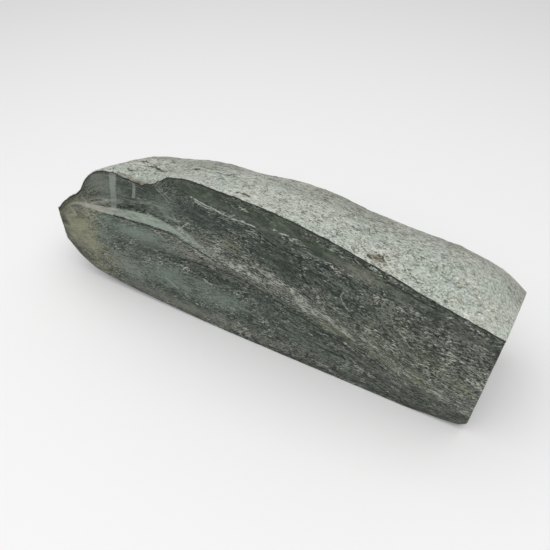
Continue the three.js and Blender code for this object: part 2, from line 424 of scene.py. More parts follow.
def sections(station):
    """Every cross-section as depth and height, with each column's part of the stone and sweep."""
    edge = np.stack([station, 0 * station, 0 * station], -1)
    edge_wear = EDGE_WEAR * (lumps(edge, 5, 3) + lumps(edge, 1.9, 4))
    edge_wear = edge_wear * (1 + CRUMBLED_WEAR * hump(station, *CRUMBLED))
    top = curve(TOP_EDGE)(station) + edge_wear * smooth(station, 0, 6)
    lines = (LOW_EDGE, LEDGE_LINE, LEDGE_DEPTH, CREST_HEIGHT, BELLY_DEPTH, BELLY_HEIGHT, KEEL_HEIGHT)
    low, ledge, recess, crest, belly, waist, keel = (curve(line)(station) for line in lines)
    reach = belly - recess
    rise = np.minimum(LEDGE_RISE, LEDGE_RISE_SHARE * (top - ledge))

    low_front = pairs(0, low)
    ledge_front = pairs(0, ledge)
    ledge_back = pairs(recess, ledge + rise)
    top_front = pairs(recess, top)
    back = pairs(belly, waist)
    base_back = pairs(BASE_BACK * belly, keel)
    base_front = pairs(BASE_FRONT * belly, keel)
    shoulder_pull = pairs(recess + CREST_AT * reach, crest)
    shoulder_end = pairs(belly, waist + SHOULDER_FULLNESS * (crest - waist))
    haunch_pull = pairs(belly, waist - HAUNCH_FULLNESS * (waist - keel))
    heel = pairs(base_back[:, 0] + HEEL_DEPTH * belly, keel + HEEL_HEIGHT * (waist - keel))

    low_round = curve(LOW_ROUND)(station)
    tread = np.linalg.norm(ledge_back - ledge_front, axis=1)
    lip = np.minimum(LEDGE_ROUND, 0.3 * tread)
    fillet = np.minimum(FILLET, 0.45 * tread)
    top_round = np.minimum(TOP_ROUND, 0.3 * (top - ledge - rise))
    top_pull = 3 * np.linalg.norm(shoulder_pull - top_front, axis=1)
    heel_pull = 3 * np.linalg.norm(base_back - heel, axis=1)
    first = (top_round / top_pull)[:, None]
    last = (HEEL_ROUND / heel_pull)[:, None]

    shoulder_shares = first + (1 - first) * even(SHOULDER_COLUMNS)[None]
    haunch_shares = (1 - last) * even(BACK_COLUMNS)[None]
    shoulder = bezier(top_front, shoulder_pull, shoulder_end, back, shoulder_shares)
    haunch = bezier(back, haunch_pull, heel, base_back, haunch_shares)
    heel_from = bezier(back, haunch_pull, heel, base_back, 1 - last)[:, 0]
    heel_to = toward(base_back, base_front, HEEL_ROUND)

    low_from, low_arris, low_to = arris(base_front, low_front, ledge_front, low_round)
    lip_from, lip_arris, lip_to = arris(low_front, ledge_front, ledge_back, lip)
    fillet_from, fillet_arris, fillet_to = arris(ledge_front, ledge_back, top_front, fillet)
    top_from = toward(top_front, ledge_back, top_round)

    strips = [
        (low_arris, FACE),
        (between(low_to, lip_from, LOWER_COLUMNS), FACE),
        (lip_arris, FACE),
        (between(lip_to, fillet_from, LEDGE_COLUMNS), FACE),
        (fillet_arris, FACE),
        (between(fillet_to, top_from, UPPER_COLUMNS), FACE),
        (corner(top_from, top_front, shoulder[:, 0]), RIND),
        (shoulder, RIND),
        (haunch, RIND),
        (corner(heel_from, base_back, heel_to), RIND),
        (between(heel_to, base_front, BASE_COLUMNS), CUT),
        (between(base_front, low_from, BASE_COLUMNS // 2), CUT),
    ]
    ring = np.concatenate([points for points, _ in strips], axis=1)
    kinds = np.concatenate([np.full(points.shape[1], kind) for points, kind in strips])
    sweep = np.zeros(ring.shape[1])
    starts = np.cumsum([0] + [points.shape[1] for points, _ in strips])
    sweep[starts[7]:starts[8]] = SHOULDER_SWEEP * even(SHOULDER_COLUMNS)
    sweep[starts[8]:starts[9]] = SHOULDER_SWEEP + (1 - SHOULDER_SWEEP) * even(BACK_COLUMNS)
    sweep[starts[9]:] = 1
    return ring, kinds, sweep, starts


def stone_grid():
    """The whole skin as rings of points, each column's kind, and where its strips and nose start."""
    steps = round(FACE_LENGTH / STATION_STEP)
    bevel = END_ROUND * (1 - np.cos(np.linspace(0, np.pi / 2, 4)))[:-1]
    station = np.r_[bevel, np.linspace(END_ROUND, FACE_LENGTH, steps)]
    ring, kinds, sweep, starts = sections(station)
    around = np.roll(ring, -1, 1) - np.roll(ring, 1, 1)
    outward = unit(np.stack([-around[..., 1], around[..., 0]], -1))
    swelling = swell(station[:, None], sweep[None]) * (sweep > 0)
    inset = np.where(station < END_ROUND, END_ROUND - station, 0)
    inset = END_ROUND - np.sqrt(END_ROUND**2 - inset**2)
    ring = ring + outward * (swelling - inset[:, None])[..., None]
    lean = END_SKEW * np.maximum(0, 1 - station / END_SKEW_REACH)
    body = np.stack([lean[:, None] * ring[..., 0] - station[:, None], *np.moveaxis(ring, -1, 0)], -1)

    part = np.sin(np.linspace(0, np.pi / 2, NOSE_RINGS + 1))[1:-1, None]
    last = body[-1][None]
    width = (1 - part**NOSE_POWER) ** (1 / NOSE_POWER)
    nose = np.stack([
        -FACE_LENGTH - NOSE_LENGTH * part + 0 * last[..., 0],
        NOSE_DEPTH + (last[..., 1] - NOSE_DEPTH) * width,
        NOSE_HEIGHT + (last[..., 2] - NOSE_HEIGHT) * width,
    ], -1)
    return np.concatenate([body, nose]), kinds, starts, len(body)


def grain_field(place):
    """Coordinates that run with the fibres: along them, across them and into the stone."""
    station, height, depth = np.moveaxis(place, -1, 0)
    lines = (LOW_EDGE, MIDDLE_GRAIN, UPPER_GRAIN, TOP_EDGE)
    low, middle, upper, top = (curve(line)(station) for line in lines)
    top = np.maximum(top, upper + 3)
    lines = (low, middle, upper, top)
    across = np.zeros(station.shape)
    for a, b, from_level, to_level in zip(lines, lines[1:], GRAIN_LEVELS, GRAIN_LEVELS[1:]):
        share = np.clip((height - a) / (b - a), 0, 1)
        across += share * (to_level - from_level)
    across += np.minimum(height - low, 0) + np.maximum(height - top, 0)
    return np.stack([station, across + GRAIN_DIP * depth, depth], -1)


def dented(points, across, dents, seed):
    """How far ragged dents sink the skin. across is each point's depth or its height."""
    ragged = 1 + 0.35 * lumps(points, 2.6, seed)
    sunk = np.zeros(across.shape)
    for station, level, length, width, deep in dents:
        away = ((-points[..., 0] - station) / length) ** 2 + ((across - level) / width) ** 2
        sunk += deep * np.exp(-away * ragged)
    return sunk


def skin_relief(points, reach, heel, on_rind):
    """How far the skin stands proud of the smooth stone in millimetres, and how dented it is."""
    station, depth, height = -points[..., 0], points[..., 1], points[..., 2]
    rough = sum(rise * lumps(points, size, seed) for rise, size, seed in RIND_LUMPS)
    rough *= smooth(reach, 0, 5) * smooth(heel, 0, -5) * smooth(station, 0, 12) * on_rind
    sunk = dented(points, depth, DENTS + [RUST_PIT], 21) * (height > 40)
    sunk = (sunk + dented(points, height, BACK_DENTS, 22) * smooth(depth, 50, 60)) * on_rind
    return rough - sunk, np.clip(sunk, 0, 1)


def face_relief(grain):
    """The faint ridges and plucked fibres of the sawn faces, in millimetres."""
    return sum(
        rise * lumps(grain / (stretch, 1, 1), size, seed)
        for rise, size, seed, stretch in FACE_RIDGES)


def face_zones(place):
    """The strength of each kind of patch on the sawn face, by its name."""
    zones = {name: zone(place, spots, 41 + 4 * i) for i, (name, spots) in enumerate(ZONES.items())}
    station = place[..., 0] + ZONE_DRIFT * lumps(place, 12, 91)
    height = place[..., 1] + ZONE_DRIFT / 2 * lumps(place, 9, 92)
    zones["tip"] = smooth(station, 258, 282) * smooth(height, 84, 74)
    return zones


def rust_stain(points, reach):
    """The rusty pit in the rind and the brown, crumbled part of the sawn edge."""
    station = -points[..., 0] + 2 * lumps(points, 3, 95)
    crumble = 0.75 * hump(station, *RUSTY_EDGE) * smooth(reach, 6, 1)
    pit = hump(station, RUST_PIT[0], 3) * hump(points[..., 1], RUST_PIT[1], 2.2)
    return np.maximum(crumble, pit)


def ring_lengths(grid):
    """How far round its ring each point is, from the low edge."""
    steps = np.linalg.norm(np.diff(grid, axis=1), axis=-1)
    return np.pad(np.cumsum(steps, axis=1), ((0, 0), (1, 0)))


def stone_faces(rings, columns, body, kinds):
    """The faces of the skin and of its two ends, and the kind of each."""
    quads, quad_kinds = [], []
    here = np.arange(columns)
    after = (here + 1) % columns
    for r in range(rings - 1):
        a, b = r * columns + here, r * columns + after
        quads.append(np.stack([a, b, b + columns, a + columns], -1))
        quad_kinds.append(kinds if r < body - 1 else np.where(kinds == CUT, CUT, RIND))
    inner = np.concatenate([here, rings * columns + np.arange((END_RINGS - 1) * columns)])
    inner = inner.reshape(END_RINGS, columns)
    for r in range(END_RINGS - 1):
        a, b = inner[r], inner[r][after]
        quads.append(np.stack([a, inner[r + 1], inner[r + 1][after], b], -1))
        quad_kinds.append(np.full(columns, CUT))
    hub = rings * columns + (END_RINGS - 1) * columns
    last = inner[-1]
    fans = [(hub, last[after[i]], last[i]) for i in here]
    outer = (rings - 1) * columns
    fans += [(hub + 1, outer + i, outer + after[i]) for i in here]
    fan_kinds = [CUT] * columns + [RIND] * columns
    return np.concatenate(quads).tolist() + fans, np.r_[np.concatenate(quad_kinds), fan_kinds]


def build_stone(relief):
    """The points, faces, face kinds and surface values of the whole stone, in millimetres."""
    grid, kinds, starts, body = stone_grid()
    rings, columns = grid.shape[:2]
    around = ring_lengths(grid)
    reach = around - around[:, [starts[6]]]
    heel = around - around[:, [starts[9]]]
    nose = smooth(-grid[..., 0], FACE_LENGTH - 0.5, FACE_LENGTH + 3) * np.ones((rings, columns))
    on_rind = np.maximum(kinds == RIND, nose)
    reach = np.where(nose > 0, np.maximum(reach, 6 * nose), reach)
    heel = np.where(nose > 0, np.minimum(heel, -6), heel)

    across = np.roll(grid, -1, 1) - np.roll(grid, 1, 1)
    along = np.gradient(grid, axis=0)
    outward = unit(np.cross(across, along))
    place = np.stack([-grid[..., 0], grid[..., 2], grid[..., 1]], -1)
    rough, sunk = skin_relief(grid, reach, heel, on_rind)
    ridges = face_relief(grain_field(place)) * (1 - on_rind) * (kinds != CUT)
    lift = relief * (rough + ridges)
    skin = grid + outward * lift[..., None]

    centre = skin[0].mean(0)
    shares = np.linspace(1, 0, END_RINGS + 1)[1:-1, None, None]
    end = centre + (skin[0] - centre) * shares
    tip = np.array([-FACE_LENGTH - NOSE_LENGTH, NOSE_DEPTH, NOSE_HEIGHT])
    points = np.concatenate([skin.reshape(-1, 3), end.reshape(-1, 3), centre[None], tip[None]])
    points[:, 2] = np.maximum(points[:, 2], 0)

    extra = (END_RINGS - 1) * columns + 2
    from_edge = np.linalg.norm(end - skin[0], axis=-1)
    weathered = (kinds == RIND) * smooth(reach[0], 0, 6) * smooth(heel[0], 0, -6)
    skin_rim = weathered * np.ones((rings, 1))
    end_rim = weathered * np.exp(-from_edge / END_RIM)
    on_ledge = np.zeros(columns)
    on_ledge[starts[3]:starts[4] + 1] = 1
    stations = np.minimum(-grid[:, :1, 0], FACE_LENGTH)
    on_ledge = on_ledge * smooth(curve(LEDGE_DEPTH)(stations), 1, 5) * (1 - nose)
    on_skin = {"ledge": on_ledge, "reach": reach, "sunk": sunk, "rust": rust_stain(grid, reach)}
    values = {name: np.r_[amounts.ravel(), np.zeros(extra)] for name, amounts in on_skin.items()}
    values["end_rim"] = np.r_[skin_rim.ravel(), end_rim.ravel(), 0, 0]
    faces, face_kinds = stone_faces(rings, columns, body, kinds)
    return points, faces, face_kinds, values


class Varying:
    """A value that varies over the stone. Sums and products of it become shader nodes."""

    def __init__(self, socket):
        self.socket = socket
        self.tree = socket.id_data

    def __add__(self, other):
        return maths("ADD", self, other)

    def __sub__(self, other):
        return maths("SUBTRACT", self, other)

    def __rsub__(self, other):
        return maths("SUBTRACT", other, self)

    def __mul__(self, other):
        return maths("MULTIPLY", self, other)


def plug(socket, value):
    """Joins a socket to a varying value, or gives it a plain one."""
    if isinstance(value, Varying):
        socket.id_data.links.new(value.socket, socket)
    else:
        socket.default_value = value


def add(tree, kind, inputs, *outputs, **settings):
    """Adds a node and gives the named one of its outputs, or a list of several."""
    node = tree.nodes.new("ShaderNode" + kind)
    for name, value in settings.items():
        setattr(node, name, value)
    for name, value in inputs.items():
        plug(node.inputs[name], value)
    found = [Varying(node.outputs[name]) for name in outputs]
    return found[0] if len(found) == 1 else found


def use(tree, group, inputs, *outputs):
    """Places a shader node group."""
    return add(tree, "Group", inputs, *outputs, node_tree=bpy.data.node_groups[group])


def maths(operation, *values):
    tree = next(value.tree for value in values if isinstance(value, Varying))
    return add(tree, "Math", dict(enumerate(values)), 0, operation=operation)


def vectors(operation, first, second, output="Vector"):
    inputs = {0: first, 1: second}
    return add(first.tree, "VectorMath", inputs, output, operation=operation)


def combined(x, y, z):
    return add(x.tree, "CombineXYZ", {"X": x, "Y": y, "Z": z}, 0)


def separated(vector):
    return add(vector.tree, "SeparateXYZ", {"Vector": vector}, "X", "Y", "Z")


def noise(place, scale, detail, output="Fac", roughness=0.5, distortion=0):
    inputs = {
        "Vector": place, "Scale": scale, "Detail": detail, "Roughness": roughness,
        "Distortion": distortion,
    }
    return add(place.tree, "TexNoise", inputs, output)


def step(value, low, high):
    """0 at low and 1 at high, with an even S between. low may be the larger one."""
    limits = {"Value": value, "From Min": low, "From Max": high}
    return add(value.tree, "MapRange", limits, 0, interpolation_type="SMOOTHSTEP")


class Coats:
    """The colour of a surface, built up by laying one coat over another."""

    def __init__(self, finish, first):
        self.finish = finish
        self.colour = (*getattr(finish, first), 1)

    def lay(self, share, coat, most=1):
        """Lays on a colour of the finish, or a varying one, where share is high, up to a limit."""
        over = coat if isinstance(coat, Varying) else (*getattr(self.finish, coat), 1)
        inputs = {0: share * most, 6: self.colour, 7: over}
        self.colour = add(share.tree, "Mix", inputs, 2, data_type="RGBA")


def surface(tree, name, output="Fac"):
    """A value that the mesh keeps at each point."""
    return add(tree, "Attribute", {}, output, attribute_name=name)


def new_group(name, places, numbers, outputs):
    """An empty shader node group, its inputs by name and the sockets of its output node."""
    tree = bpy.data.node_groups.new(name, "ShaderNodeTree")
    for label in [*places, *numbers, *outputs]:
        way = "OUTPUT" if label in outputs else "INPUT"
        kind = "NodeSocketVector" if label in places else "NodeSocketFloat"
        socket = tree.interface.new_socket(label, in_out=way, socket_type=kind)
        if label in numbers:
            socket.default_value = numbers[label]
    given = {socket.name: Varying(socket) for socket in tree.nodes.new("NodeGroupInput").outputs}
    return tree, given, tree.nodes.new("NodeGroupOutput").inputs


def fibre_group():
    """Streaks of a given length and width that run along the grain, and hairs between them."""
    numbers = {"Length": 10, "Width": 1, "Seed": 0, "Slant": 0}
    tree, given, out = new_group(FIBRES, ["Grain"], numbers, ["Value", "Hair"])
    turn = {"Vector": given["Grain"], "Angle": given["Slant"]}
    turned = add(tree, "VectorRotate", turn, 0, rotation_type="Z_AXIS")
    scaled = vectors(
        "DIVIDE", turned, combined(given["Length"], given["Width"], given["Width"]))
    moved = vectors("ADD", scaled, combined(given["Seed"], 0, given["Seed"]))
    streaks = noise(moved, 1, 2, roughness=0.6, distortion=0.5)
    plug(out["Value"], streaks)
    plug(out["Hair"], step(maths("ABSOLUTE", streaks - 0.5), 0.045, 0))


def mineral_group():
    """Mineral grains: a separate shade for each, with a darker line between them."""
    tree, given, out = new_group(GRAINS, ["Place"], {"Size": 1.5, "Seed": 0}, ["Shade", "Seam"])
    size = given["Size"]
    scaled = vectors("DIVIDE", given["Place"], combined(size, size, size))
    moved = vectors("ADD", scaled, combined(given["Seed"], 0, 0))
    bent = vectors("ADD", moved, noise(moved, 1.7, 1, "Color"))
    colour, distance = add(
        tree, "TexVoronoi", {"Vector": bent, "Scale": 1}, "Color", "Distance", feature="F1")
    plug(out["Shade"], add(tree, "SeparateColor", {"Color": colour}, "Red"))
    plug(out["Seam"], step(distance, 0.35, 0.85))


def line_group():
    """How far a place is from a straight line between two others."""
    tree, given, out = new_group(LINE, ["Place", "From", "To"], {}, ["Value"])
    run = vectors("SUBTRACT", given["To"], given["From"])
    gap = vectors("SUBTRACT", given["Place"], given["From"])
    reach = vectors("DOT_PRODUCT", gap, run, "Value")
    length = vectors("DOT_PRODUCT", run, run, "Value")
    share = add(tree, "Clamp", {"Value": maths("DIVIDE", reach, length)}, 0)
    nearest = vectors("MULTIPLY", run, combined(share, share, share))
    plug(out["Value"], vectors("DISTANCE", gap, nearest, "Value"))


def nearest_line(place, lines):
    """The distance to the nearest of several broken lines."""
    nearest = None
    for line in lines:
        for start, end in zip(line, line[1:]):
            ends = {"Place": place, "From": (*start, 0), "To": (*end, 0)}
            gap = use(place.tree, LINE, ends, "Value")
            nearest = maths("MINIMUM", nearest, gap) if nearest else gap
    return nearest


def wander(place, scale, reach):
    """A small push that changes smoothly from place to place, up to half of reach each way."""
    push = vectors("SUBTRACT", noise(place, scale, 2, "Color"), (0.5, 0.5, 0.5))
    return vectors("MULTIPLY", push, reach)


def fibres(grain, kind, output="Value"):
    """One kind of the stone's fibres, as streaks or as hairs."""
    length, width, seed, slant = FIBRE_KINDS[kind]
    sizes = {"Grain": grain, "Length": length, "Width": width, "Seed": seed, "Slant": slant}
    return use(grain.tree, FIBRES, sizes, output)


def new_material(name):
    material = bpy.data.materials.new(name)
    material.use_nodes = True
    tree = material.node_tree
    return material, tree, tree.nodes["Principled BSDF"].inputs


def set_shader(shader, coats, rough, specular, height, depth, strength):
    """Gives the shader its colour and gloss, and a bump that is depth millimetres high."""
    plug(shader["Base Color"], coats.colour)
    plug(shader["Roughness"], rough)
    shader["Specular IOR Level"].default_value = specular
    bump = {"Height": height, "Distance": depth * MM, "Strength": strength}
    plug(shader["Normal"], add(height.tree, "Bump", bump, 0))


def felted_fibres(grain, density):
    """Masks of the pale dashes, pale hairs and dark specks, thicker where density is above 0."""
    dashes = fibres(grain, "dashes")
    crossed = fibres(grain, "crossed")
    back = fibres(grain, "back")
    dots = fibres(grain, "dots")
    pale = maths("MAXIMUM", dashes, maths("MAXIMUM", crossed, back))
    pale = step(pale + density, 0.612, 0.675)
    long_hairs = fibres(grain, "long hairs", "Hair")
    hairs = maths("MAXIMUM", long_hairs, fibres(grain, "short hairs", "Hair"))
    hairs = hairs * step(dots + density, 0.48, 0.6)
    low = maths("MINIMUM", dashes + 0.02, dots) + density * -0.5
    return pale, hairs, step(low, 0.47, 0.42)


def nephrite_ground(finish, grain):
    """The stone's tones below its fibres, in bands and streaks along the grain."""
    broad = fibres(grain, "broad")
    middle = fibres(grain, "middle")
    coats = Coats(finish, "nephrite_dark")
    coats.lay(step(broad, 0.4, 0.6), "nephrite")
    coats.lay(step(middle, 0.46, 0.64), "nephrite_grey")
    return coats, middle


def sawn_zones(coats, middle, station, grain):
    """The face's own regions: its pale band, green panels, olive patches, dark parts and tip."""
    tree = grain.tree
    across = separated(grain)[1]
    band = step(across, 44, 53) * step(across, 79, 63) * step(station, 226, 200)
    streaks = step(middle, 0.42, 0.56) * 0.65 + 0.22
    coats.lay(band * streaks, "fibre_band")
    coats.lay(surface(tree, "green"), "nephrite_green", 0.95)
    coats.lay(step(across, 20, 8), "nephrite_grey", 0.5)
    streaks = step(fibres(grain, "olive streaks"), 0.46, 0.64)
    coats.lay(surface(tree, "olive") * streaks, "olive", 0.8)
    coats.lay(surface(tree, "dark"), "nephrite_dark", 0.85)
    coats.lay(surface(tree, "rim"), "olive_rim", 0.95)
    coats.lay(surface(tree, "grey"), "fibre_band", 0.7)
    mottle = step(fibres(grain, "tip mottle"), 0.38, 0.6)
    stained = mottle * 0.35 + 0.5
    coats.lay(surface(tree, "tip") * stained, "tip_olive")
    coats.lay(surface(tree, "glow") * mottle, "olive", 0.2)
    worn = mottle * -0.35 + 1
    coats.lay(surface(tree, "brown") * worn, "brown", 0.9)
    return band


def fibre_density(grain, calm, band):
    """Where the face's fibres are thick: above 0 in flecked places, below it in calm ones."""
    tree = grain.tree
    density = surface(tree, "fleck") * 0.07 + calm * -0.15
    density = surface(tree, "dark") * -0.07 + density
    density = band * 0.045 + density
    return (fibres(grain, "clumps") - 0.52) * 0.45 + density


def face_marks(coats, middle, tremble, grain):
    """The pale veins, threads and hairlines of the sawn face."""
    for vein, width in VEINS:
        share = step(nearest_line(tremble, [vein]), width * 1.25, width * 0.8)
        coats.lay(share * (middle * 0.8 + 0.4), "vein")
    thread = step(nearest_line(tremble, THREADS), 0.65, 0.15)
    broken = step(fibres(grain, "breaks"), 0.3, 0.55)
    coats.lay(thread * broken, "pale_fibre", 0.9)
    hairline = step(nearest_line(tremble, HAIRLINES), 0.75, 0.1)
    coats.lay(hairline * broken, "pale_fibre", 0.4)


def lit_shelf_streaks(coats, middle, station, haze):
    """The step that the saw left, pale with painted light on its upward-facing tread over its own
    tones, greener in its middle and pinkish toward the nose.
    """
    tree = station.tree
    shelf = Coats(coats.finish, "lit_ledge_green")
    shelf.lay(step(station, 246, 262), "lit_ledge_pink")
    shelf.lay(haze, "nephrite_grey", 0.6)
    streaked = surface(tree, "ledge") * (middle + 0.38)
    faded = surface(tree, "shelf") * step(middle, 0.3, 0.6)
    coats.lay(maths("MAXIMUM", streaked, faded * 0.75), shelf.colour)


def sawn_face_material(finish):
    material, tree, shader = new_material("Sawn nephrite")
    grain = surface(tree, "grain", "Vector")
    place = surface(tree, "place", "Vector")
    flat = vectors("MULTIPLY", place, (1, 1, 0))
    tremble = vectors("ADD", flat, wander(place, 0.16, (2, 2, 0)))
    station = separated(place)[0]

    coats, middle = nephrite_ground(finish, grain)
    band = sawn_zones(coats, middle, station, grain)

    calm = surface(tree, "calm")
    pale, hairs, pits = felted_fibres(grain, fibre_density(grain, calm, band))
    quiet = 1 - calm * 0.7
    pits = pits * quiet
    coats.lay(pits, "black_mineral_and_shade", 0.95)
    coats.lay(hairs, "pale_fibre", 0.42)
    coats.lay(pale, "pale_fibre", 0.88)
    haze = step(fibres(grain, "haze"), 0.5, 0.7)
    coats.lay(haze, "fibre_band", 0.2)
    smudges = fibres(grain, "smudges")
    coats.lay(step(smudges, 0.48, 0.34) * quiet, "nephrite_dark", 0.6)
    coats.lay(step(smudges, 0.54, 0.7), "nephrite_green", 0.4)
    wash = surface(tree, "olive") * step(middle, 0.38, 0.6)
    coats.lay(wash, "olive", 0.5)
    grit = step(fibres(grain, "grit"), 0.46, 0.41) * quiet
    coats.lay(grit, "black_mineral_and_shade", 0.72)

    face_marks(coats, middle, tremble, grain)
    lit_shelf_streaks(coats, middle, station, haze)
    crack = step(nearest_line(tremble, CRACKS), 0.9, 0.2) * step(middle, 0.34, 0.48)
    coats.lay(crack, "black_mineral_and_shade", 0.85)

    reach = surface(tree, "reach")
    # Along the face right under the rind edge: a brown tint, then a thin near-black line of painted
    # shade
    coats.lay(step(middle * 4 + reach, 0, 1.6), "brown", 0.6)
    coats.lay(step(middle * 3 + reach, 0.2, 1), "black_mineral_and_shade", 0.75)

    rough = calm * -0.06 + (pale * 0.12 + 0.6)
    raised = pits * -1 + maths("MAXIMUM", pale, hairs) - crack
    set_shader(shader, coats, rough, specular=0.2, height=raised, depth=0.3, strength=0.8)
    return material


def cut_material(finish):
    material, tree, shader = new_material("End grain nephrite")
    place = surface(tree, "place", "Vector")
    turn = {"Vector": place, "Angle": END_GRAIN_TURN}
    end_on = add(tree, "VectorRotate", turn, 0, rotation_type="Y_AXIS")
    coats, middle = nephrite_ground(finish, end_on)
    pale, hairs, pits = felted_fibres(end_on, -0.01)
    coats.lay(pits, "black_mineral_and_shade", 0.7)
    coats.lay(hairs, "pale_fibre", 0.4)
    coats.lay(pale, "pale_fibre", 0.55)
    dots = step(use(tree, GRAINS, {"Place": place, "Size": 1.6}, "Shade"), 0.8, 1)
    coats.lay(dots, "nephrite_grey", 0.35)
    rim = middle * 0.6 + surface(tree, "end_rim")
    coats.lay(step(rim, 0.5, 0.85), "olive_rim", 0.8)
    waves = {"Vector": place, "Scale": 0.22, "Distortion": 1.2, "Detail": 2}
    saw_marks = add(tree, "TexWave", waves, "Fac", bands_direction="Y")
    rough = middle * 0.2 + 0.5
    raised = saw_marks * 0.25 + maths("MAXIMUM", pale, hairs)
    set_shader(shader, coats, rough, specular=0.35, height=raised, depth=0.2, strength=0.7)
    return material


def crack_mask(place, lines, streaks, edge):
    """Ragged cracks along broken lines. edge is how far from a line they fade out."""
    gap = nearest_line(place, lines)
    return step(streaks * 1.2 + gap, edge, 0.7)


def rind_material(finish):
    material, tree, shader = new_material("Worn rind")
    place = surface(tree, "place", "Vector")
    reach = surface(tree, "reach")
    sunk = surface(tree, "sunk")
    clouds = noise(place, 0.035, 3)
    small = noise(place, 0.16, 3)
    station, height, depth = separated(place)
    coats = Coats(finish, "rind")
    coats.lay(step(clouds, 0.4, 0.62), "rind_green")
    # Painted shade: toward the back, where the rind curves away from the light, it is laid darker
    # and greyer, with fewer pale grains and more dark streaks. Toward the nose end the stone's own
    # tone is a little darker too.
    rear_shade_and_tone = step(clouds * 40 + reach, 46, 84)
    inner = step(reach, 4, 18)
    nose_end = step(station, 150, 215) * 0.22 * inner
    rear_shade_and_tone = maths("MAXIMUM", rear_shade_and_tone, nose_end) * step(clouds, 0.28, 0.5)
    coats.lay(rear_shade_and_tone, "rind_rear_shade_and_tone", 0.8)
    coats.lay(step(small, 0.52, 0.66), "rind_ochre", 0.45)

    drawn = vectors("MULTIPLY", place, (0.7, 1, 1))
    shade, seam = use(tree, GRAINS, {"Place": drawn, "Size": 1.05}, "Shade", "Seam")
    fine = {"Place": drawn, "Size": 0.7, "Seed": 9}
    fine_shade, fine_seam = use(tree, GRAINS, fine, "Shade", "Seam")
    pale = step(shade, 0.35, 1)
    coats.lay(pale * (rear_shade_and_tone * -0.25 + 0.42), "rind_pale")
    specks = step(fine_shade, 0.4, 0.1)
    patchy = step(small, 0.38, 0.6) * step(station, -10, 70)
    specks = specks * (patchy * 0.6 + 0.35)
    coats.lay(specks, "rind_speck_and_shade", 0.82)
    mottle = noise(place, 0.33, 3, roughness=0.7)
    uneven = step(mottle, 0.5, 0.36) * (nose_end * 0.8 + (inner * 0.3 + 0.12))
    coats.lay(uneven, "rind_speck_and_shade")
    streaks = fibres(place, "rind streaks")
    lines = step(rear_shade_and_tone * -0.07 + streaks, 0.42, 0.3)
    coats.lay(lines, "rind_speck_and_shade", 0.6)
    # Painted shade: the dents in the rind are laid darker, the deeper the darker, with the dark
    # grains colour
    coats.lay(step(streaks * -0.5 + sunk, 0.1, 0.45), "rind_speck_and_shade", 0.6)
    rusty = surface(tree, "rust") * step(streaks, 0.74, 0.56)
    coats.lay(rusty, "rust")

    above = combined(station, depth, 0)
    jag = wander(place, 0.5, (5, 3, 0))
    crack = crack_mask(vectors("ADD", above, jag), RIND_CRACKS, streaks, 1.5)
    crack = crack * step(height, 40, 60)
    flat = vectors("MULTIPLY", place, (1, 1, 0))
    behind = crack_mask(vectors("ADD", flat, jag), BACK_CRACKS, streaks, 1.4)
    crack = maths("MAXIMUM", crack, behind * step(depth, 50, 60))
    coats.lay(crack, "rind_speck_and_shade", 0.9)
    stained = step(station, 297, 312) * step(mottle, 0.3, 0.6)
    coats.lay(stained, "nose_stain", 0.85)

    rough = pale * -0.12 + 0.88
    raised = fine_seam * -0.5 + (1 - seam)
    raised = mottle * 2.5 + (crack * -3 + (specks * -0.8 + raised))
    set_shader(shader, coats, rough, specular=0.3, height=raised, depth=0.55, strength=1)
    return material


def amount(name, default, description, **limits):
    return bpy.props.FloatProperty(name=name, description=description, default=default, **limits)


def paint(name, default, description):
    return bpy.props.FloatVectorProperty(
        name=name, description=description, default=default, subtype="COLOR", size=3, min=0, max=1)


class BoulderShape(bpy.types.PropertyGroup):
    relief: amount(
        "Relief", 1, "Strength of the rind's lumps and dents", min=0, max=2, subtype="FACTOR")


